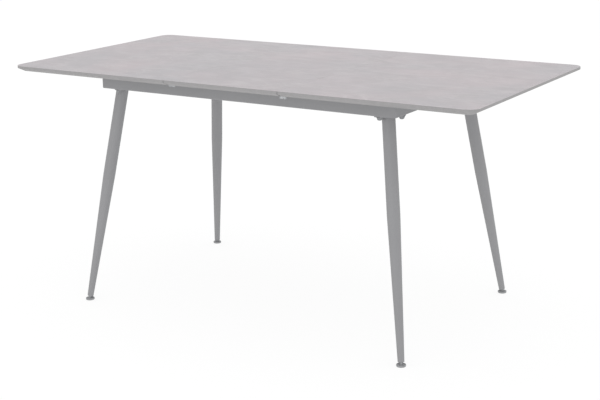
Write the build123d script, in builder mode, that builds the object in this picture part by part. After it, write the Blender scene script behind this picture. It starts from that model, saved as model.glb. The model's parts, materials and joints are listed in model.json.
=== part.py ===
from build123d import *
import os

# Extendable dining table, drawn extended: two sliding half tops with a lift-out centre leaf between them,
# a welded frame of steel tube, and four splayed, tapered legs on levelling feet.
# Millimetres. The origin is on the floor under the table's middle, +X runs along the table, +Y to the
# rear and +Z up. Front is -Y, left is -X.

# Table
LENGTH_OPEN = 1600
LENGTH_CLOSED = 1200
WIDTH = 800
HEIGHT = 760

# Top slab: a thin vertical edge above a wide underside bevel
TOP_THICKNESS = 18
BEVEL_IN = 21
BEVEL_UP = 10
CORNER_RADIUS = 35
ARRIS = 0.8
UNDERSIDE = HEIGHT - TOP_THICKNESS
LEAF_LENGTH = LENGTH_OPEN - LENGTH_CLOSED
SEAM_X = LEAF_LENGTH / 2
SEAM_GAP = 0.3
SEAM_ARRIS = 0.4
# The leaf lifts this many times further than each half closes, so its sides are cut back by that slope
LIFT_PER_CLOSING = 4

# Frame of mitred rectangular tube, under the top
FRAME_X = 519
FRAME_Y = 298
RAIL_WIDTH = 20
RAIL_HEIGHT = 46
RAIL_WALL = 2
RAIL_EDGE = 2.5
RAIL_BOTTOM = 694
RAIL_TOP = RAIL_BOTTOM + RAIL_HEIGHT
INNER_X = FRAME_X - RAIL_WIDTH
INNER_Y = FRAME_Y - RAIL_WIDTH
RAIL_MID_X = FRAME_X - RAIL_WIDTH / 2
RAIL_MID_Y = FRAME_Y - RAIL_WIDTH / 2

# Cross bars, which tie the long rails and carry the leaf when it is stowed
CROSS_BAR_X = 160
CROSS_BAR_WIDTH = 30
CROSS_BAR_HEIGHT = 14
CROSS_BAR_WALL = 1.5

# Nylon between the rails and the top
GLIDE_WIDTH = 12
GLIDE_STRIP_LENGTH = 1000
GLIDE_PAD_LENGTH = 60
GLIDE_PAD_Y = 150

# Runners: channels inside the long rails, and shoes on the half tops' arms
CHANNEL_HALF = 496
CHANNEL_BOTTOM = 711
CHANNEL_HEIGHT = 22
CHANNEL_DEPTH = 12
CHANNEL_WALL = 1.5
STOP_THICKNESS = 4
RUNNING_GAP = 0.3
SHOE_LENGTH = 60
ARM_THICKNESS = 2.5
ARM_FLANGE = 30
ARM_START = 208
ARM_BOTTOM = 713
ARM_EDGE = 3
ARM_SCREW_X = (232, 310, 390, 468)
RIVET_SPACING = 30

# Legs and their corner plates
LEG_TOP = 691
LEG_END = 14
LEG_FLOOR_X = 572.1
LEG_FLOOR_Y = 360.0
LEG_SPLAY_X = 0.1422
LEG_SPLAY_Y = 0.1507
LEG_RADIUS_TOP = 19
LEG_RADIUS_END = 9.7
# Straight tube down to this height, tapered below it
TAPER_TOP = 416
LEG_WALL = 1.5
PLATE_SIZE = 70
PLATE_THICKNESS = RAIL_BOTTOM - LEG_TOP
PLATE_INSET = 3
PLATE_CORNER = 8
# The plate's corner under the frame's own corner is cut off by this much along both sides
PLATE_CUT = 43
GUSSET_LEG = 120
GUSSET_THICKNESS = 3
# Leg bolts, measured inwards from the frame's outer corner: one in each rail, one in the gusset
BOLT_OFFSETS = ((56, 10), (10, 55), (65, 65))
BOLT_RADIUS = 4
BOLT_CLEARANCE = 4.5
BOLT_END = 704.5
HEAD_RADIUS = 7.5
HEAD_HEIGHT = 7.4
HEAD_DOME = 5
SOCKET_ACROSS = 5
SOCKET_DEPTH = 3.5
WASHER_RADIUS = 9
WASHER_THICKNESS = 1.6
NUT_ACROSS = 13
NUT_HEIGHT = 8
THREAD_GAP = 0.05

# Levelling feet
INSERT_LENGTH = 25
INSERT_CAP = 2
INSERT_GAP = 0.15
STUD_RADIUS = 4
STUD_GAP = 0.1
STUD_LENGTH = 36
STUD_TIP = 1
BALL_RADIUS = 4.5
BALL_Z = 7.5
SOCKET_GAP = 0.05
DISC_RADIUS = 14
DISC_HEIGHT = 6.5
DISC_EDGE = 2
BOSS_RADIUS = 7.5
BOSS_TOP = 8.5

# Turn buttons, which hold the leaf level with the half tops at the seams
BUTTON_REACH = 12
BUTTON_PIVOT = 6.5
BUTTON_WIDTH = 12
BUTTON_THICKNESS = 6
BUTTON_TOP = UNDERSIDE - RUNNING_GAP
BUTTON_BOTTOM = BUTTON_TOP - BUTTON_THICKNESS
BUTTON_Y = {"left": 355.5, "right": 369}
BUTTON_HOLE = 2.3
BUTTON_EDGE = 1
RIB_WIDTH = 3
RIB_LENGTH = 10
RIB_HEIGHT = 2.5
RIB_ROOT = 1

# Pan-head screws and rivets
SCREW_RADIUS = 2
PILOT_RADIUS = 2.05
SCREW_HEAD_RADIUS = 4
SCREW_HEAD_HEIGHT = 2.2
SCREW_HEAD_DOME = 1.2
SCREW_DEPTH = 11
SLOT_WIDTH = 1
SLOT_DEPTH = 1
PILOT_DEPTH = 12

SIDES = {"left": -1, "right": 1}
ENDS = {"front": -1, "rear": 1}
CORNERS = {f"{e}_{s}": (SIDES[s], ENDS[e]) for e in ENDS for s in SIDES}

os.makedirs("parts", exist_ok=True)


def save(piece, name):
    piece.label = name
    export_step(piece, f"parts/{name}.step")


def slab(start, end, mode=Mode.ADD):
    """A box between two corners, the lower one first, added to or cut from the part being built."""
    with BuildSketch(Plane(origin=((start[0] + end[0]) / 2, (start[1] + end[1]) / 2, start[2]))) as base:
        Rectangle(abs(end[0] - start[0]), abs(end[1] - start[1]))
    extrude(base.sketch, amount=end[2] - start[2], mode=mode)


def drill(points, bottom, top, radius):
    """Upright round holes through the part being built, from bottom to top."""
    with BuildSketch(Plane.XY.offset(bottom)) as holes:
        with Locations(*points):
            Circle(radius)
    extrude(holes.sketch, amount=top - bottom, mode=Mode.SUBTRACT)


def button_points(side):
    """The pivots of the turn buttons under one half top."""
    x = SIDES[side] * (SEAM_X + BUTTON_PIVOT)
    return [(x, sy * BUTTON_Y[side]) for sy in ENDS.values()]


def arm_screw_points(side):
    """The screws that hold both arms under one half top."""
    y = INNER_Y - CHANNEL_DEPTH - ARM_FLANGE / 2 - ARM_EDGE
    return [(SIDES[side] * x, sy * y) for x in ARM_SCREW_X for sy in ENDS.values()]


def bolt_points(sx, sy):
    """The three leg bolts at one corner."""
    return [(sx * (FRAME_X - dx), sy * (FRAME_Y - dy)) for dx, dy in BOLT_OFFSETS]


# ---- Top -------------------------------------------------------------------------------------------

def whole_top():
    """The extended top as one slab: rounded corners, and the bevel all round its underside."""
    with BuildSketch(Plane.XY.offset(UNDERSIDE)) as outline:
        RectangleRounded(LENGTH_OPEN, WIDTH, CORNER_RADIUS)
    extrude(outline.sketch, amount=TOP_THICKNESS)


def shape_edges(top):
    """Cuts the underside bevel and breaks the upper edge."""
    under = top.faces().sort_by(Axis.Z)[0]
    chamfer(under.edges(), length=BEVEL_IN, length2=BEVEL_UP, reference=under)
    fillet(top.faces().sort_by(Axis.Z)[-1].edges(), radius=ARRIS)


for side, sx in SIDES.items():
    with BuildPart() as half_top:
        whole_top()
        shape_edges(half_top)
        split(bisect_by=Plane(origin=(sx * SEAM_X, 0, HEIGHT), z_dir=(sx, 0, 0)))
        seam_face = half_top.faces().sort_by(Axis.X)[0 if sx > 0 else -1]
        chamfer(seam_face.edges().sort_by(Axis.Z)[-1], length=SEAM_ARRIS)
        drill(arm_screw_points(side), UNDERSIDE, UNDERSIDE + PILOT_DEPTH, PILOT_RADIUS)
        drill(button_points(side), UNDERSIDE, UNDERSIDE + PILOT_DEPTH, PILOT_RADIUS)
    save(half_top.part, f"half_top_{side}")

with BuildPart() as centre_leaf:
    whole_top()
    shape_edges(centre_leaf)
    for sx in SIDES.values():
        side_plane = Plane(
            origin=(sx * (SEAM_X - SEAM_GAP), 0, HEIGHT),
            x_dir=(0, 1, 0),
            z_dir=(sx * LIFT_PER_CLOSING, 0, -1),
        )
        split(bisect_by=side_plane, keep=Keep.BOTTOM)
    upper_face = centre_leaf.faces().sort_by(Axis.Z)[-1]
    chamfer(upper_face.edges().filter_by(Axis.Y), length=SEAM_ARRIS)
save(centre_leaf.part, "centre_leaf")


# ---- Frame -----------------------------------------------------------------------------------------

def mitred_rail(name, angle, half_length, outer, holes):
    """A rectangular tube along one side of the frame, mitred at both ends."""
    along = Vector(1, 0, 0).rotate(Axis.Z, angle)
    outward = Vector(0, -1, 0).rotate(Axis.Z, angle)
    middle = outward * (outer - RAIL_WIDTH / 2) + Vector(0, 0, RAIL_BOTTOM + RAIL_HEIGHT / 2)
    with BuildPart() as rail:
        with BuildSketch(Plane(origin=middle - along * half_length, x_dir=-outward, z_dir=along)):
            RectangleRounded(RAIL_WIDTH, RAIL_HEIGHT, RAIL_EDGE)
            RectangleRounded(
                RAIL_WIDTH - 2 * RAIL_WALL,
                RAIL_HEIGHT - 2 * RAIL_WALL,
                RAIL_EDGE - RAIL_WALL,
                mode=Mode.SUBTRACT,
            )
        extrude(amount=2 * half_length)
        for end in (-1, 1):
            corner = outward * outer + along * (end * half_length)
            split(bisect_by=Plane(origin=corner, z_dir=along * end - outward), keep=Keep.BOTTOM)
        drill(holes, RAIL_BOTTOM, RAIL_BOTTOM + RAIL_WALL, BOLT_CLEARANCE)
    save(rail.part, name)


for end, sy in ENDS.items():
    rail_bolts = [bolt_points(sx, sy)[0] for sx in SIDES.values()]
    mitred_rail(f"long_rail_{end}", 0 if sy < 0 else 180, FRAME_X, FRAME_Y, rail_bolts)
for side, sx in SIDES.items():
    rail_bolts = [bolt_points(sx, sy)[1] for sy in ENDS.values()]
    mitred_rail(f"end_rail_{side}", 90 if sx > 0 else -90, FRAME_Y, FRAME_X, rail_bolts)

for side, sx in SIDES.items():
    with BuildPart() as cross_bar:
        bar_middle = (sx * CROSS_BAR_X, -INNER_Y, RAIL_BOTTOM + CROSS_BAR_HEIGHT / 2)
        with BuildSketch(Plane(origin=bar_middle, x_dir=(1, 0, 0), z_dir=(0, 1, 0))):
            RectangleRounded(CROSS_BAR_WIDTH, CROSS_BAR_HEIGHT, 2 * CROSS_BAR_WALL)
            RectangleRounded(
                CROSS_BAR_WIDTH - 2 * CROSS_BAR_WALL,
                CROSS_BAR_HEIGHT - 2 * CROSS_BAR_WALL,
                CROSS_BAR_WALL,
                mode=Mode.SUBTRACT,
            )
        extrude(amount=2 * INNER_Y)
    save(cross_bar.part, f"cross_bar_{side}")

for corner, (sx, sy) in CORNERS.items():
    with BuildPart() as gusset:
        with BuildSketch(Plane.XY.offset(RAIL_BOTTOM)):
            with BuildLine():
                Polyline(
                    (sx * INNER_X, sy * INNER_Y),
                    (sx * (INNER_X - GUSSET_LEG), sy * INNER_Y),
                    (sx * INNER_X, sy * (INNER_Y - GUSSET_LEG)),
                    close=True,
                )
            make_face()
        extrude(amount=GUSSET_THICKNESS)
        drill([bolt_points(sx, sy)[2]], RAIL_BOTTOM, RAIL_BOTTOM + GUSSET_THICKNESS, BOLT_CLEARANCE)
    save(gusset.part, f"corner_gusset_{corner}")

for end, sy in ENDS.items():
    with BuildPart() as glide_strip:
        slab(
            (-GLIDE_STRIP_LENGTH / 2, sy * (RAIL_MID_Y - GLIDE_WIDTH / 2), RAIL_TOP),
            (GLIDE_STRIP_LENGTH / 2, sy * (RAIL_MID_Y + GLIDE_WIDTH / 2), UNDERSIDE),
        )
    save(glide_strip.part, f"glide_strip_{end}")

with BuildPart() as glide_pads:
    for sx, sy in CORNERS.values():
        slab(
            (sx * (RAIL_MID_X - GLIDE_WIDTH / 2), sy * (GLIDE_PAD_Y - GLIDE_PAD_LENGTH / 2), RAIL_TOP),
            (sx * (RAIL_MID_X + GLIDE_WIDTH / 2), sy * (GLIDE_PAD_Y + GLIDE_PAD_LENGTH / 2), UNDERSIDE),
        )
save(glide_pads.part, "end_glide_pads")


# ---- Runners ---------------------------------------------------------------------------------------

CHANNEL_TOP = CHANNEL_BOTTOM + CHANNEL_HEIGHT
CHANNEL_MOUTH = INNER_Y - CHANNEL_DEPTH
ARM_FACE = CHANNEL_MOUTH - RUNNING_GAP
RIVET_Z = CHANNEL_BOTTOM + CHANNEL_HEIGHT / 2
SHOE_BACK = INNER_Y - CHANNEL_WALL - RUNNING_GAP
SHOE_BOTTOM = CHANNEL_BOTTOM + CHANNEL_WALL + RUNNING_GAP
SHOE_TOP = CHANNEL_TOP - CHANNEL_WALL - RUNNING_GAP
ARM_END = CHANNEL_HALF - STOP_THICKNESS
SHOE_CENTRES = (ARM_START + SHOE_LENGTH / 2, ARM_END - SHOE_LENGTH / 2)
RIVET_X = [c + step * RIVET_SPACING / 2 for c in SHOE_CENTRES for step in (-1, 1)]

for end, sy in ENDS.items():
    with BuildPart() as channel:
        slab(
            (-CHANNEL_HALF, sy * CHANNEL_MOUTH, CHANNEL_BOTTOM),
            (CHANNEL_HALF, sy * INNER_Y, CHANNEL_TOP),
        )
        slab(
            (-CHANNEL_HALF, sy * CHANNEL_MOUTH, CHANNEL_BOTTOM + CHANNEL_WALL),
            (CHANNEL_HALF, sy * (INNER_Y - CHANNEL_WALL), CHANNEL_TOP - CHANNEL_WALL),
            mode=Mode.SUBTRACT,
        )
    save(channel.part, f"runner_channel_{end}")

with BuildPart() as channel_stops:
    for sx, sy in CORNERS.values():
        slab(
            (sx * ARM_END, sy * CHANNEL_MOUTH, CHANNEL_BOTTOM + CHANNEL_WALL),
            (sx * CHANNEL_HALF, sy * (INNER_Y - CHANNEL_WALL), CHANNEL_TOP - CHANNEL_WALL),
        )
save(channel_stops.part, "channel_stops")


def across(x, y, sy):
    """A sketch plane at x and y that faces the table's middle, for holes and rivets along Y."""
    return Plane(origin=(x, sy * y, RIVET_Z), x_dir=(1, 0, 0), z_dir=(0, -sy, 0))


for side, sx in SIDES.items():
    for end, sy in ENDS.items():
        with BuildPart() as arm:
            with BuildSketch(Plane(origin=(sx * ARM_START, 0, 0), x_dir=(0, 1, 0), z_dir=(1, 0, 0))):
                with BuildLine():
                    Polyline(
                        (sy * ARM_FACE, ARM_BOTTOM),
                        (sy * ARM_FACE, UNDERSIDE),
                        (sy * (ARM_FACE - ARM_FLANGE), UNDERSIDE),
                        (sy * (ARM_FACE - ARM_FLANGE), UNDERSIDE - ARM_THICKNESS),
                        (sy * (ARM_FACE - ARM_THICKNESS), UNDERSIDE - ARM_THICKNESS),
                        (sy * (ARM_FACE - ARM_THICKNESS), ARM_BOTTOM),
                        close=True,
                    )
                make_face()
            extrude(amount=sx * (ARM_END - ARM_START))
            bend = arm.edges().filter_by(Axis.X).sort_by(lambda e: -e.center().Z - abs(e.center().Y))[0]
            fillet(bend, radius=ARM_EDGE)
            arm_holes = [p for p in arm_screw_points(side) if p[1] * sy > 0]
            drill(arm_holes, UNDERSIDE - ARM_THICKNESS, UNDERSIDE, PILOT_RADIUS)
            for x in RIVET_X:
                with BuildSketch(across(sx * x, ARM_FACE, sy)):
                    Circle(PILOT_RADIUS)
                extrude(amount=ARM_THICKNESS, mode=Mode.SUBTRACT)
        save(arm.part, f"slide_arm_{end}_{side}")

    with BuildPart() as shoes:
        for sy in ENDS.values():
            for centre in SHOE_CENTRES:
                slab(
                    (sx * (centre - SHOE_LENGTH / 2), sy * ARM_FACE, SHOE_BOTTOM),
                    (sx * (centre + SHOE_LENGTH / 2), sy * SHOE_BACK, SHOE_TOP),
                )
            for x in RIVET_X:
                with BuildSketch(across(sx * x, SHOE_BACK, sy)):
                    Circle(PILOT_RADIUS)
                extrude(amount=SHOE_BACK - ARM_FACE, mode=Mode.SUBTRACT)
    save(shoes.part, f"runner_shoes_{side}")

    with BuildPart() as rivets:
        for sy in ENDS.values():
            for x in RIVET_X:
                head_face = across(sx * x, ARM_FACE - ARM_THICKNESS, sy)
                with BuildSketch(head_face):
                    Circle(SCREW_RADIUS)
                extrude(amount=-(SHOE_BACK - ARM_FACE + ARM_THICKNESS))
                with BuildSketch(head_face):
                    Circle(SCREW_HEAD_RADIUS)
                extrude(amount=SCREW_HEAD_DOME)
    save(rivets.part, f"shoe_rivets_{side}")


# ---- Screws and turn buttons -----------------------------------------------------------------------

def pan_head_screws(points, head_top, tip):
    """Upright screws, heads downwards: a domed head with a slot, and a plain shank up to the tip."""
    head_bottom = head_top - SCREW_HEAD_HEIGHT
    for x, y in points:
        with BuildSketch(Plane(origin=(x, y, 0), x_dir=(1, 0, 0), z_dir=(0, -1, 0))) as profile:
            with BuildLine():
                Line((0, head_bottom), (SCREW_HEAD_RADIUS - SCREW_HEAD_DOME, head_bottom))
                RadiusArc(
                    (SCREW_HEAD_RADIUS - SCREW_HEAD_DOME, head_bottom),
                    (SCREW_HEAD_RADIUS, head_bottom + SCREW_HEAD_DOME),
                    -SCREW_HEAD_DOME,
                )
                Polyline(
                    (SCREW_HEAD_RADIUS, head_bottom + SCREW_HEAD_DOME),
                    (SCREW_HEAD_RADIUS, head_top),
                    (SCREW_RADIUS, head_top),
                    (SCREW_RADIUS, tip - SCREW_RADIUS),
                    (0, tip),
                    (0, head_bottom),
                )
            make_face()
        revolve(profile.sketch, axis=Axis((x, y, 0), (0, 0, 1)))
        slab(
            (x - SCREW_HEAD_RADIUS, y - SLOT_WIDTH / 2, head_bottom),
            (x + SCREW_HEAD_RADIUS, y + SLOT_WIDTH / 2, head_bottom + SLOT_DEPTH),
            mode=Mode.SUBTRACT,
        )


for side, sx in SIDES.items():
    with BuildPart() as arm_screws:
        pan_head_screws(arm_screw_points(side), UNDERSIDE - ARM_THICKNESS, UNDERSIDE + SCREW_DEPTH)
    save(arm_screws.part, f"arm_screws_{side}")

    with BuildPart() as button_screws:
        pan_head_screws(button_points(side), BUTTON_BOTTOM - RUNNING_GAP, UNDERSIDE + SCREW_DEPTH)
    save(button_screws.part, f"button_screws_{side}")

    arm_length = BUTTON_PIVOT + BUTTON_REACH - BUTTON_WIDTH / 2
    for end, (x, y) in zip(ENDS, button_points(side)):
        with BuildPart() as turn_button:
            with BuildSketch(Plane.XY.offset(BUTTON_BOTTOM)):
                with Locations((x - sx * arm_length / 2, y)):
                    SlotCenterToCenter(arm_length, BUTTON_WIDTH)
            extrude(amount=BUTTON_THICKNESS)
            fillet(turn_button.faces().sort_by(Axis.Z)[0].edges(), radius=BUTTON_EDGE)
            rib_start = x - sx * (SCREW_HEAD_RADIUS + RIB_WIDTH)
            slab(
                (rib_start, y - RIB_WIDTH / 2, BUTTON_BOTTOM - RIB_HEIGHT),
                (rib_start - sx * RIB_LENGTH, y + RIB_WIDTH / 2, BUTTON_BOTTOM + RIB_ROOT),
            )
            drill([(x, y)], BUTTON_BOTTOM, BUTTON_TOP, BUTTON_HOLE)
        save(turn_button.part, f"turn_button_{end}_{side}")


# ---- Legs and feet ---------------------------------------------------------------------------------

def leg_point(sx, sy, z):
    """The point on a leg's axis at height z."""
    return Vector(sx * (LEG_FLOOR_X - LEG_SPLAY_X * z), sy * (LEG_FLOOR_Y - LEG_SPLAY_Y * z), z)


def leg_plane(sx, sy, z):
    """A sketch plane through a leg's axis: its X is the radius, its Y runs up the leg from height z."""
    up = (leg_point(sx, sy, 1) - leg_point(sx, sy, 0)).normalized()
    radius = up.cross(Vector(0, 0, 1)).normalized()
    return Plane(origin=leg_point(sx, sy, z), x_dir=radius, z_dir=radius.cross(up))


def leg_axis(sx, sy):
    low = leg_point(sx, sy, 0)
    return Axis(low, leg_point(sx, sy, 1) - low)


def leg_length(sx, sy, top):
    """The distance along a leg's axis from its lower end up to height top."""
    return (leg_point(sx, sy, top) - leg_point(sx, sy, LEG_END)).length


with BuildPart() as leg_washers:
    for sx, sy in CORNERS.values():
        with BuildSketch(Plane.XY.offset(LEG_TOP - WASHER_THICKNESS)):
            with Locations(*bolt_points(sx, sy)):
                Circle(WASHER_RADIUS)
                Circle(BOLT_CLEARANCE, mode=Mode.SUBTRACT)
        extrude(amount=WASHER_THICKNESS)
save(leg_washers.part, "leg_washers")

with BuildPart() as leg_bolts:
    head_face = LEG_TOP - WASHER_THICKNESS
    for sx, sy in CORNERS.values():
        for x, y in bolt_points(sx, sy):
            with BuildSketch(Plane(origin=(x, y, 0), x_dir=(1, 0, 0), z_dir=(0, -1, 0))):
                with BuildLine():
                    Line((0, head_face - HEAD_HEIGHT), (HEAD_RADIUS - HEAD_DOME, head_face - HEAD_HEIGHT))
                    RadiusArc(
                        (HEAD_RADIUS - HEAD_DOME, head_face - HEAD_HEIGHT),
                        (HEAD_RADIUS, head_face - HEAD_HEIGHT + HEAD_DOME),
                        -HEAD_DOME,
                    )
                    Polyline(
                        (HEAD_RADIUS, head_face - HEAD_HEIGHT + HEAD_DOME),
                        (HEAD_RADIUS, head_face),
                        (BOLT_RADIUS, head_face),
                        (BOLT_RADIUS, BOLT_END),
                        (0, BOLT_END),
                        (0, head_face - HEAD_HEIGHT),
                    )
                make_face()
            revolve(axis=Axis((x, y, 0), (0, 0, 1)))
            with BuildSketch(Plane(origin=(x, y, head_face - HEAD_HEIGHT))):
                RegularPolygon(SOCKET_ACROSS / 2, 6, major_radius=False)
            extrude(amount=SOCKET_DEPTH, mode=Mode.SUBTRACT)
save(leg_bolts.part, "leg_bolts")

with BuildPart() as weld_nuts:
    for sx, sy in CORNERS.values():
        seats = (RAIL_WALL, RAIL_WALL, GUSSET_THICKNESS)
        for (x, y), seat in zip(bolt_points(sx, sy), seats):
            with BuildSketch(Plane(origin=(x, y, RAIL_BOTTOM + seat))):
                RegularPolygon(NUT_ACROSS / 2, 6, major_radius=False)
                Circle(BOLT_RADIUS + THREAD_GAP, mode=Mode.SUBTRACT)
            extrude(amount=NUT_HEIGHT)
save(weld_nuts.part, "weld_nuts")

for corner, (sx, sy) in CORNERS.items():
    with BuildPart() as leg_plate:
        near, far = PLATE_INSET, PLATE_INSET + PLATE_SIZE
        cut = PLATE_INSET + PLATE_CUT
        outline = ((cut, near), (far, near), (far, far), (near, far), (near, cut))
        with BuildSketch(Plane.XY.offset(LEG_TOP)) as plate_face:
            with BuildLine():
                Polyline([(sx * (FRAME_X - dx), sy * (FRAME_Y - dy)) for dx, dy in outline], close=True)
            make_face()
            fillet(plate_face.vertices(), radius=PLATE_CORNER)
        extrude(amount=PLATE_THICKNESS)
        drill(bolt_points(sx, sy), LEG_TOP, RAIL_BOTTOM, BOLT_CLEARANCE)
    save(leg_plate.part, f"leg_plate_{corner}")

    tapered = leg_length(sx, sy, TAPER_TOP)
    taper = (LEG_RADIUS_TOP - LEG_RADIUS_END) / tapered
    past_top = leg_length(sx, sy, LEG_TOP) + 2 * LEG_RADIUS_TOP * LEG_SPLAY_Y
    with BuildPart() as leg:
        with BuildSketch(leg_plane(sx, sy, LEG_END)):
            with BuildLine():
                Polyline(
                    (LEG_RADIUS_END - LEG_WALL, 0),
                    (LEG_RADIUS_END, 0),
                    (LEG_RADIUS_TOP, tapered),
                    (LEG_RADIUS_TOP, past_top),
                    (LEG_RADIUS_TOP - LEG_WALL, past_top),
                    (LEG_RADIUS_TOP - LEG_WALL, tapered),
                    close=True,
                )
            make_face()
        revolve(axis=leg_axis(sx, sy))
        split(bisect_by=Plane.XY.offset(LEG_TOP), keep=Keep.BOTTOM)
    save(leg.part, f"leg_{corner}")

    with BuildPart() as leg_insert:
        with BuildSketch(leg_plane(sx, sy, LEG_END)):
            bore = STUD_RADIUS + STUD_GAP
            inside = LEG_RADIUS_END - LEG_WALL - INSERT_GAP
            with BuildLine():
                Line((bore, INSERT_LENGTH), (bore, -INSERT_CAP))
                Line((bore, -INSERT_CAP), (LEG_RADIUS_END - INSERT_CAP, -INSERT_CAP))
                RadiusArc((LEG_RADIUS_END - INSERT_CAP, -INSERT_CAP), (LEG_RADIUS_END, 0), -INSERT_CAP)
                Polyline(
                    (LEG_RADIUS_END, 0),
                    (inside, 0),
                    (inside + taper * INSERT_LENGTH, INSERT_LENGTH),
                    (bore, INSERT_LENGTH),
                )
            make_face()
        revolve(axis=leg_axis(sx, sy))
    save(leg_insert.part, f"leg_insert_{corner}")

    ball = leg_point(sx, sy, BALL_Z)
    with BuildPart() as foot_stud:
        with BuildSketch(leg_plane(sx, sy, BALL_Z)):
            with BuildLine():
                neck = (BALL_RADIUS**2 - STUD_RADIUS**2) ** 0.5
                ThreePointArc((0, -BALL_RADIUS), (BALL_RADIUS, 0), (STUD_RADIUS, neck))
                Polyline(
                    (STUD_RADIUS, neck),
                    (STUD_RADIUS, STUD_LENGTH - STUD_TIP),
                    (STUD_RADIUS - STUD_TIP, STUD_LENGTH),
                    (0, STUD_LENGTH),
                    (0, -BALL_RADIUS),
                )
            make_face()
        revolve(axis=leg_axis(sx, sy))
    save(foot_stud.part, f"foot_stud_{corner}")

    with BuildPart() as foot_disc:
        with BuildSketch(Plane(origin=(ball.X, ball.Y, 0))):
            Circle(DISC_RADIUS)
        extrude(amount=DISC_HEIGHT)
        fillet(foot_disc.edges(), radius=DISC_EDGE)
        with BuildSketch(Plane(origin=(ball.X, ball.Y, 0))):
            Circle(BOSS_RADIUS)
        extrude(amount=BOSS_TOP)
        with BuildSketch(Plane(origin=(ball.X, ball.Y, 0), x_dir=(1, 0, 0), z_dir=(0, -1, 0))):
            with BuildLine():
                hollow = BALL_RADIUS + SOCKET_GAP
                ThreePointArc((0, BALL_Z - hollow), (hollow, BALL_Z), (0, BALL_Z + hollow))
                Line((0, BALL_Z + hollow), (0, BALL_Z - hollow))
            make_face()
        revolve(axis=Axis((ball.X, ball.Y, 0), (0, 0, 1)), mode=Mode.SUBTRACT)
    save(foot_disc.part, f"foot_disc_{corner}")
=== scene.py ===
import json
import math

import bpy
from mathutils import Matrix, Vector


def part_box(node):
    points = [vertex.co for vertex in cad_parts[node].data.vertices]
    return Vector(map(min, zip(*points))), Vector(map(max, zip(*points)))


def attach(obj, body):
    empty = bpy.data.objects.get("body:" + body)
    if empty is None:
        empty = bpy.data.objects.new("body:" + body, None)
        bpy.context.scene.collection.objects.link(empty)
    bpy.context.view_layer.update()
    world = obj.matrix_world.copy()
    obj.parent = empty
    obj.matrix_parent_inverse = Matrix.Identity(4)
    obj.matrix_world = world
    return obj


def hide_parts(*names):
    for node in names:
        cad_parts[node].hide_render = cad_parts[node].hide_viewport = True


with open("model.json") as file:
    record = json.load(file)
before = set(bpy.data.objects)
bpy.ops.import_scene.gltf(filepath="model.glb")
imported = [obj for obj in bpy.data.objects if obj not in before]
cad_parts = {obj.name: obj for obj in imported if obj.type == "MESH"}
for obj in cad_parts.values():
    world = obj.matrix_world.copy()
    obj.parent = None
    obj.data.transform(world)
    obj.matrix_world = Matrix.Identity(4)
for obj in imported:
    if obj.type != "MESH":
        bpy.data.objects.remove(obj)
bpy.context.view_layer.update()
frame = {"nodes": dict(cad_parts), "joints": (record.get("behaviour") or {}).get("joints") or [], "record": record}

# ---- Sizes and places, in metres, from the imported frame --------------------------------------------

TOP_LOW, TOP_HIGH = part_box("centre_leaf")
SURFACE_Z = TOP_HIGH.z
UNDERSIDE_Z = TOP_LOW.z
CORNERS = [n[len("leg_plate_"):] for n in frame["nodes"] if n.startswith("leg_plate_")]
JOINTS = {j["name"]: j for j in frame["joints"]}

# Camera, at the photograph's viewing angle
CAMERA_PLACE = (2.104, -3.338, 1.396)
CAMERA_YAW = math.radians(31.98)
CAMERA_PITCH = math.radians(15.19)
CAMERA_ROLL = math.radians(-0.885)
CAMERA_LENS = 76.44
CAMERA_SENSOR = 36

# Finish of the top's rim: an edge band whose grey is painted darker than the top, as painted shade of the upright
# rim
EDGE_LINE = 0.0003
EDGE_BAND_AND_SHADE_DARK = (147, 146, 146)
EDGE_BAND_AND_SHADE_PALE = (154, 152, 153)

# Weld between a leg and its plate: the bead's radius, how far it sinks into the corner, and its ripples
LEG_TOP_RADIUS = 0.019
WELD_RADIUS = 0.0016
WELD_SINK = WELD_RADIUS * 0.25
WELD_RIPPLES = 46
WELD_RIPPLE_SHARE = 0.1
STEPS_PER_RIPPLE = 6
WELD_SEGMENTS = 10

# Foot stud: a ball that sits in the disc, and an M8 thread above it. The stud's length and the thread's
# start are measured from the ball's centre, and the rows kept are those of the ball below the thread.
BALL_Z = 0.0075
BALL_RADIUS = 0.0045
STUD_LENGTH = 0.036
THREAD_START = 0.0045
THREAD_OUTER = 0.004
THREAD_INNER = 0.0034
THREAD_PITCH = 0.00125
STEPS_PER_PITCH = 7
STUD_SEGMENTS = 24
BALL_STEPS = 24
BALL_ROWS_KEPT = 19

# White floor and studio light
FLOOR_SIZE = 60
FLOOR_WHITE = (0.9, 0.9, 0.9, 1)
FLOOR_GLOW = 1.04
FLOOR_GLOW_SHARE = 0.82
WORLD_STRENGTH = 1.02
LIGHT_TARGET = (0, 0, 0.6)
FRONT_LIGHT_PLACE = (0.0, -4.5, 0.6)
FRONT_LIGHT_SIZE = (5, 1.2)
FRONT_LIGHT_POWER = 22
RIGHT_LIGHT_PLACE = (4.8, 0.4, 0.6)
RIGHT_LIGHT_SIZE = (4, 1.2)
RIGHT_LIGHT_POWER = 11


# ---- Node helpers ----------------------------------------------------------------------------------

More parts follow.
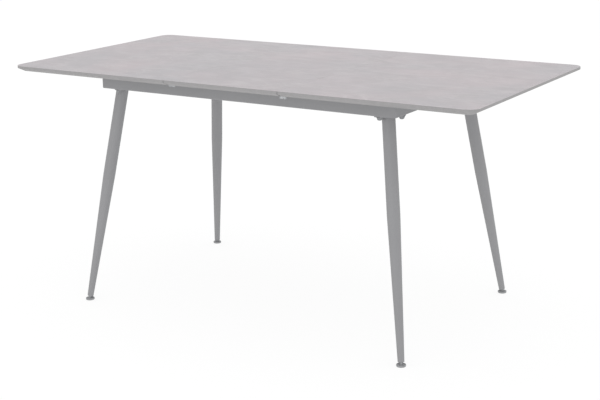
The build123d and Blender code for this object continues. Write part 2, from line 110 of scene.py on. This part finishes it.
class Material:
    """A new node material: an output, a Principled shader, and short ways to add nodes."""

    def __init__(self, name, roughness, metallic=0.0, specular=0.5):
        self.material = bpy.data.materials.new(name)
        self.material.use_nodes = True
        self.tree = self.material.node_tree
        self.shader = self.tree.nodes["Principled BSDF"]
        self.shader.inputs["Roughness"].default_value = roughness
        self.shader.inputs["Metallic"].default_value = metallic
        self.shader.inputs["Specular IOR Level"].default_value = specular
        self.place = self.node("ShaderNodeTexCoord").outputs["Object"]

    def node(self, kind, **settings):
        made = self.tree.nodes.new(kind)
        for key, value in settings.items():
            setattr(made, key, value)
        return made

    def feed(self, socket, value):
        if isinstance(value, bpy.types.NodeSocket):
            self.tree.links.new(value, socket)
        else:
            socket.default_value = value

    def noise(self, scale, detail=4.0, roughness=0.5, distortion=0.0, place=None):
        made = self.node("ShaderNodeTexNoise")
        self.feed(made.inputs["Vector"], place or self.place)
        made.inputs["Scale"].default_value = scale
        made.inputs["Detail"].default_value = detail
        made.inputs["Roughness"].default_value = roughness
        made.inputs["Distortion"].default_value = distortion
        return made.outputs["Fac"]

    def stretched(self, scale):
        made = self.node("ShaderNodeMapping")
        self.feed(made.inputs["Vector"], self.place)
        made.inputs["Scale"].default_value = scale
        return made.outputs["Vector"]

    def ramp(self, value, stops):
        made = self.node("ShaderNodeValToRGB")
        self.feed(made.inputs["Fac"], value)
        elements = made.color_ramp.elements
        while len(elements) < len(stops):
            elements.new(0.5)
        for element, (position, level) in zip(elements, stops):
            element.position = position
            element.color = (*level, 1.0) if isinstance(level, tuple) else (level, level, level, 1.0)
        return made.outputs["Color"]

    def mix(self, share, first, second, blend="MIX"):
        made = self.node("ShaderNodeMix", data_type="RGBA", blend_type=blend)
        self.feed(made.inputs[0], share)
        self.feed(made.inputs[6], first)
        self.feed(made.inputs[7], second)
        return made.outputs[2]

    def above(self, height):
        """1 where the piece is above height in its rest place, otherwise 0."""
        parts = self.node("ShaderNodeSeparateXYZ")
        self.feed(parts.inputs[0], self.place)
        made = self.node("ShaderNodeMath", operation="GREATER_THAN")
        self.feed(made.inputs[0], parts.outputs["Z"])
        made.inputs[1].default_value = height
        return made.outputs[0]

    def bump(self, height, strength, distance):
        made = self.node("ShaderNodeBump")
        made.inputs["Strength"].default_value = strength
        made.inputs["Distance"].default_value = distance
        self.feed(made.inputs["Height"], height)
        self.feed(self.shader.inputs["Normal"], made.outputs["Normal"])

    def vary_roughness(self, value, low, high):
        made = self.node("ShaderNodeMapRange")
        self.feed(made.inputs["Value"], value)
        made.inputs["To Min"].default_value = low
        made.inputs["To Max"].default_value = high
        self.feed(self.shader.inputs["Roughness"], made.outputs["Result"])


def linear(*levels):
    """Scene-linear colour from screen levels of 0 to 255."""
    shares = [v / 255 for v in levels]
    return tuple(s / 12.92 if s <= 0.04045 else ((s + 0.055) / 1.055) ** 2.4 for s in shares)


def opaque(*levels):
    """The same colour with an alpha of 1, as a colour socket takes it."""
    return (*linear(*levels), 1.0)


# ---- Materials -------------------------------------------------------------------------------------

def concrete_look():
    """Matt stone-look laminate: soft cloudy patches, faint streaks, a few darker blotches and fine grain.

    The edge band is an even grey, painted darker than the top to stand in for the shade on the upright rim, and a
    plain backing sheet covers the underside.
    """
    m = Material("concrete_look", roughness=0.55, specular=0.3)
    warm = opaque(190, 182, 185)
    cool = opaque(182, 179, 182)
    clouds = m.ramp(m.noise(2.6, 5, 0.55, 0.6), [(0.36, 0.0), (0.64, 1.0)])
    colour = m.mix(clouds, warm, cool)
    mottle = m.ramp(m.noise(14, 6, 0.6, 0.4), [(0.32, 0.925), (0.68, 1.05)])
    colour = m.mix(1.0, colour, mottle, "MULTIPLY")
    streaks = m.noise(3.2, 7, 0.62, 1.4, m.stretched((1.0, 2.6, 1.0)))
    veins = m.ramp(streaks, [(0.46, 0.0), (0.5, 0.26), (0.54, 0.0)])
    colour = m.mix(veins, colour, opaque(206, 203, 203))
    blotches = m.ramp(m.noise(9.0, 3, 0.5, 0.9), [(0.58, 0.0), (0.72, 0.42)])
    colour = m.mix(blotches, colour, opaque(176, 173, 174))
    grain = m.ramp(m.noise(420, 3, 0.7), [(0.3, 0.955), (0.7, 1.03)])
    colour = m.mix(1.0, colour, grain, "MULTIPLY")
    # The rim's edge band: its own grey, painted darker than the top as painted shade of the upright faces
    band_and_shade = m.mix(m.ramp(m.noise(70, 4, 0.6), [(0.3, 0.0), (0.7, 1.0)]),
                 opaque(*EDGE_BAND_AND_SHADE_DARK), opaque(*EDGE_BAND_AND_SHADE_PALE))
    colour = m.mix(m.above(SURFACE_Z - EDGE_LINE), band_and_shade, colour)
    backing = m.mix(m.ramp(m.noise(900, 2, 0.6), [(0.3, 0.0), (0.7, 1.0)]),
                    opaque(150, 149, 149), opaque(160, 159, 159))
    colour = m.mix(m.above(UNDERSIDE_Z + EDGE_LINE), backing, colour)
    m.feed(m.shader.inputs["Base Color"], colour)
    m.vary_roughness(m.noise(14, 6, 0.6, 0.4), 0.48, 0.66)
    m.bump(m.noise(260, 5, 0.65), 0.12, 0.0006)
    return m.material


def powder_coat():
    """Fine matt powder coat: even colour, slight orange peel, tiny speckle."""
    m = Material("powder_coat", roughness=0.5, specular=0.35)
    base = opaque(143, 143, 145)
    speckle = m.ramp(m.noise(900, 2, 0.6), [(0.3, 0.93), (0.7, 1.05)])
    drift = m.ramp(m.noise(6, 3, 0.5), [(0.3, 0.975), (0.7, 1.02)])
    colour = m.mix(1.0, m.mix(1.0, base, speckle, "MULTIPLY"), drift, "MULTIPLY")
    m.feed(m.shader.inputs["Base Color"], colour)
    m.vary_roughness(m.noise(300, 3, 0.6), 0.44, 0.58)
    m.bump(m.noise(700, 3, 0.55), 0.18, 0.0003)
    return m.material


def zinc():
    """Zinc-plated steel: a pale metal with soft spangle and rolling marks."""
    m = Material("zinc", roughness=0.4, metallic=0.75)
    spangle = m.ramp(m.noise(160, 4, 0.6, 0.5),
                     [(0.3, linear(154, 156, 160)), (0.7, linear(186, 187, 188))])
    m.feed(m.shader.inputs["Base Color"], spangle)
    m.vary_roughness(m.noise(90, 5, 0.6, 0.3, m.stretched((0.2, 1.0, 1.0))), 0.3, 0.52)
    m.bump(m.noise(500, 3, 0.5), 0.1, 0.0002)
    return m.material


def satin_fastener():
    """Satin grey fasteners, a little glossier than the coat around them."""
    m = Material("satin_fastener", roughness=0.36, metallic=0.3)
    tone = m.ramp(m.noise(350, 3, 0.5), [(0.3, linear(126, 127, 129)), (0.7, linear(142, 143, 145))])
    m.feed(m.shader.inputs["Base Color"], tone)
    m.bump(m.noise(800, 2, 0.5), 0.1, 0.0002)
    return m.material


def nylon():
    """Natural nylon: milky, with faint moulding flow."""
    m = Material("nylon", roughness=0.5)
    tone = m.ramp(m.noise(60, 4, 0.6, 0.7), [(0.3, linear(186, 185, 180)), (0.7, linear(202, 201, 196))])
    m.feed(m.shader.inputs["Base Color"], tone)
    m.shader.inputs["Subsurface Weight"].default_value = 0.1
    m.shader.inputs["Subsurface Scale"].default_value = 0.002
    m.bump(m.noise(400, 3, 0.5), 0.08, 0.0002)
    return m.material


def foot_plastic():
    """Moulded matt plastic of the feet and leg ends."""
    m = Material("foot_plastic", roughness=0.55)
    tone = m.ramp(m.noise(300, 4, 0.6), [(0.3, linear(134, 135, 137)), (0.7, linear(150, 151, 153))])
    m.feed(m.shader.inputs["Base Color"], tone)
    m.bump(m.noise(1200, 2, 0.5), 0.15, 0.0002)
    return m.material


MATERIALS = {
    "concrete_look_top": concrete_look(),
    "powder_coat": powder_coat(),
    "zinc_steel": zinc(),
    "dark_fastener": satin_fastener(),
    "nylon": nylon(),
    "foot_plastic": foot_plastic(),
}

for row in frame["record"]["subparts"]:
    node = frame["nodes"][row["node"]]
    node.data.materials.clear()
    node.data.materials.append(MATERIALS[row["material_slot"]])


# ---- Pieces modelled here --------------------------------------------------------------------------

def smooth_piece(name, points, faces, slot):
    """A new smooth-shaded object in a slot's material."""
    mesh = bpy.data.meshes.new(name)
    mesh.from_pydata(points, [], faces)
    mesh.polygons.foreach_set("use_smooth", [True] * len(faces))
    piece = bpy.data.objects.new(name, mesh)
    bpy.context.scene.collection.objects.link(piece)
    piece.data.materials.append(MATERIALS[slot])
    return piece


def ring_tube(centres, frames, radii, segments):
    """Points and faces of a closed ring of tube; each frame is the section's two directions."""
    points, faces = [], []
    count = len(centres)
    for centre, (across, up), radius in zip(centres, frames, radii):
        for k in range(segments):
            a = 2 * math.pi * k / segments
            points.append(centre + across * (radius * math.cos(a)) + up * (radius * math.sin(a)))
    for i in range(count):
        for k in range(segments):
            j, n = (i + 1) % count, (k + 1) % segments
            faces.append((i * segments + k, j * segments + k, j * segments + n, i * segments + n))
    return points, faces


def leg_line(corner):
    """The centre of a foot's ball, and the direction up the leg from it."""
    low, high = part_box(f"foot_disc_{corner}")
    direction = -Vector(JOINTS[f"foot_{corner}_level"]["axis"]).normalized()
    return Vector(((low.x + high.x) / 2, (low.y + high.y) / 2, BALL_Z)), direction


# ---- Weld beads between the legs and their plates --------------------------------------------------

def weld_bead(corner):
    """The rippled fillet weld where a tilted round leg meets the flat plate above it."""
    foot, direction = leg_line(corner)
    plate_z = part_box(f"leg_plate_{corner}")[0].z
    centre = foot + direction * ((plate_z - foot.z) / direction.z)
    tilt = Vector((direction.x, direction.y, 0)).normalized()
    side = Vector((0, 0, 1)).cross(tilt)
    steps = WELD_RIPPLES * STEPS_PER_RIPPLE
    centres, frames, radii = [], [], []
    for i in range(steps):
        a = 2 * math.pi * i / steps
        out = tilt * (math.cos(a) / direction.z) + side * math.sin(a)
        centres.append(centre + out * LEG_TOP_RADIUS - Vector((0, 0, WELD_SINK)))
        frames.append((out.normalized(), Vector((0, 0, 1))))
        radii.append(WELD_RADIUS * (1 + WELD_RIPPLE_SHARE * math.cos(a * WELD_RIPPLES)))
    points, faces = ring_tube(centres, frames, radii, WELD_SEGMENTS)
    bead = smooth_piece(f"leg_weld_{corner}", points, faces, "powder_coat")
    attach(bead, "frame")


# ---- Threaded studs of the feet --------------------------------------------------------------------

def stud_radius(rise, turn):
    """The stud's radius at a distance above the ball's centre and a share of a turn round it.

    Towards the end, the crests are cut back at 45 degrees.
    """
    if rise < THREAD_START:
        ball = math.sqrt(max(BALL_RADIUS**2 - rise**2, 0))
        return max(ball, THREAD_INNER) if rise > 0 else ball
    ridge = 1 - abs(2 * ((rise / THREAD_PITCH - turn) % 1) - 1)
    radius = THREAD_INNER + (THREAD_OUTER - THREAD_INNER) * ridge
    return min(radius, THREAD_INNER + STUD_LENGTH - rise)


def threaded_stud(corner):
    """Stands for the plain CAD stud: the same ball and length, with a helical thread."""
    foot, direction = leg_line(corner)
    across = direction.cross(Vector((0, 0, 1))).normalized()
    onward = direction.cross(across)
    ball_rises = [-BALL_RADIUS * math.cos(math.pi * i / BALL_STEPS) for i in range(1, BALL_ROWS_KEPT + 1)]
    thread_rows = round((STUD_LENGTH - THREAD_START) / THREAD_PITCH * STEPS_PER_PITCH)
    step = (STUD_LENGTH - THREAD_START) / thread_rows
    rises = ball_rises + [THREAD_START + step * i for i in range(thread_rows + 1)]
    points = [foot - direction * BALL_RADIUS]
    for rise in rises:
        for k in range(STUD_SEGMENTS):
            turn = k / STUD_SEGMENTS
            radius = stud_radius(rise, turn)
            side = across * math.cos(2 * math.pi * turn) + onward * math.sin(2 * math.pi * turn)
            points.append(foot + direction * rise + side * radius)
    points.append(foot + direction * STUD_LENGTH)
    last = len(points) - 1
    faces = []
    for k in range(STUD_SEGMENTS):
        n = (k + 1) % STUD_SEGMENTS
        faces.append((0, 1 + n, 1 + k))
        faces.append((last, last - STUD_SEGMENTS + k, last - STUD_SEGMENTS + n))
        for i in range(len(rises) - 1):
            lower, upper = 1 + i * STUD_SEGMENTS, 1 + (i + 1) * STUD_SEGMENTS
            faces.append((lower + k, lower + n, upper + n, upper + k))
    stud = smooth_piece(f"threaded_stud_{corner}", points, faces, "zinc_steel")
    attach(stud, f"foot_{corner}")
    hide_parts(f"foot_stud_{corner}")


for corner in CORNERS:
    weld_bead(corner)
    threaded_stud(corner)


# ---- Stage, light and camera -----------------------------------------------------------------------

def white_floor():
    """A plain white floor, open from below so that the underside can be looked at."""
    bpy.ops.mesh.primitive_plane_add(size=FLOOR_SIZE)
    floor = bpy.context.object
    floor.name = "floor"
    material = bpy.data.materials.new("floor_white")
    material.use_nodes = True
    tree = material.node_tree
    tree.nodes.clear()
    output = tree.nodes.new("ShaderNodeOutputMaterial")
    paint = tree.nodes.new("ShaderNodeBsdfDiffuse")
    paint.inputs["Color"].default_value = FLOOR_WHITE
    glow = tree.nodes.new("ShaderNodeEmission")
    glow.inputs["Strength"].default_value = FLOOR_GLOW
    clear = tree.nodes.new("ShaderNodeBsdfTransparent")
    facing = tree.nodes.new("ShaderNodeNewGeometry")
    lit = tree.nodes.new("ShaderNodeMixShader")
    lit.inputs[0].default_value = FLOOR_GLOW_SHARE
    seen = tree.nodes.new("ShaderNodeMixShader")
    tree.links.new(paint.outputs[0], lit.inputs[1])
    tree.links.new(glow.outputs[0], lit.inputs[2])
    tree.links.new(facing.outputs["Backfacing"], seen.inputs[0])
    tree.links.new(lit.outputs[0], seen.inputs[1])
    tree.links.new(clear.outputs[0], seen.inputs[2])
    tree.links.new(seen.outputs[0], output.inputs["Surface"])
    floor.data.materials.append(material)


def soft_light(name, place, size, power):
    """A rectangular lamp that faces the middle of the table."""
    lamp = bpy.data.lights.new(name, "AREA")
    lamp.shape = "RECTANGLE"
    lamp.size, lamp.size_y = size
    lamp.energy = power
    holder = bpy.data.objects.new(name, lamp)
    holder.location = place
    holder.rotation_euler = (Vector(LIGHT_TARGET) - Vector(place)).to_track_quat("-Z", "Y").to_euler()
    bpy.context.scene.collection.objects.link(holder)


def studio():
    """Even white light all round, a little more of it from the front and the right."""
    world = bpy.data.worlds.new("studio")
    world.use_nodes = True
    world.node_tree.nodes["Background"].inputs["Color"].default_value = (1, 1, 1, 1)
    world.node_tree.nodes["Background"].inputs["Strength"].default_value = WORLD_STRENGTH
    bpy.context.scene.world = world
    soft_light("front_light", FRONT_LIGHT_PLACE, FRONT_LIGHT_SIZE, FRONT_LIGHT_POWER)
    soft_light("right_light", RIGHT_LIGHT_PLACE, RIGHT_LIGHT_SIZE, RIGHT_LIGHT_POWER)


def camera():
    """Looks down and to the left along the table, from beyond its front right corner."""
    ahead = Vector((
        -math.sin(CAMERA_YAW) * math.cos(CAMERA_PITCH),
        math.cos(CAMERA_YAW) * math.cos(CAMERA_PITCH),
        -math.sin(CAMERA_PITCH),
    ))
    level = Vector((math.cos(CAMERA_YAW), math.sin(CAMERA_YAW), 0))
    upright = level.cross(ahead)
    right = level * math.cos(CAMERA_ROLL) + upright * math.sin(CAMERA_ROLL)
    up = upright * math.cos(CAMERA_ROLL) - level * math.sin(CAMERA_ROLL)
    lens = bpy.data.cameras.new("camera")
    lens.lens = CAMERA_LENS
    lens.sensor_width = CAMERA_SENSOR
    holder = bpy.data.objects.new("camera", lens)
    turn = Matrix((right, up, -ahead)).transposed().to_4x4()
    holder.matrix_world = Matrix.Translation(CAMERA_PLACE) @ turn
    bpy.context.scene.collection.objects.link(holder)
    bpy.context.scene.camera = holder


white_floor()
studio()
camera()
bpy.context.scene.view_settings.view_transform = "Standard"
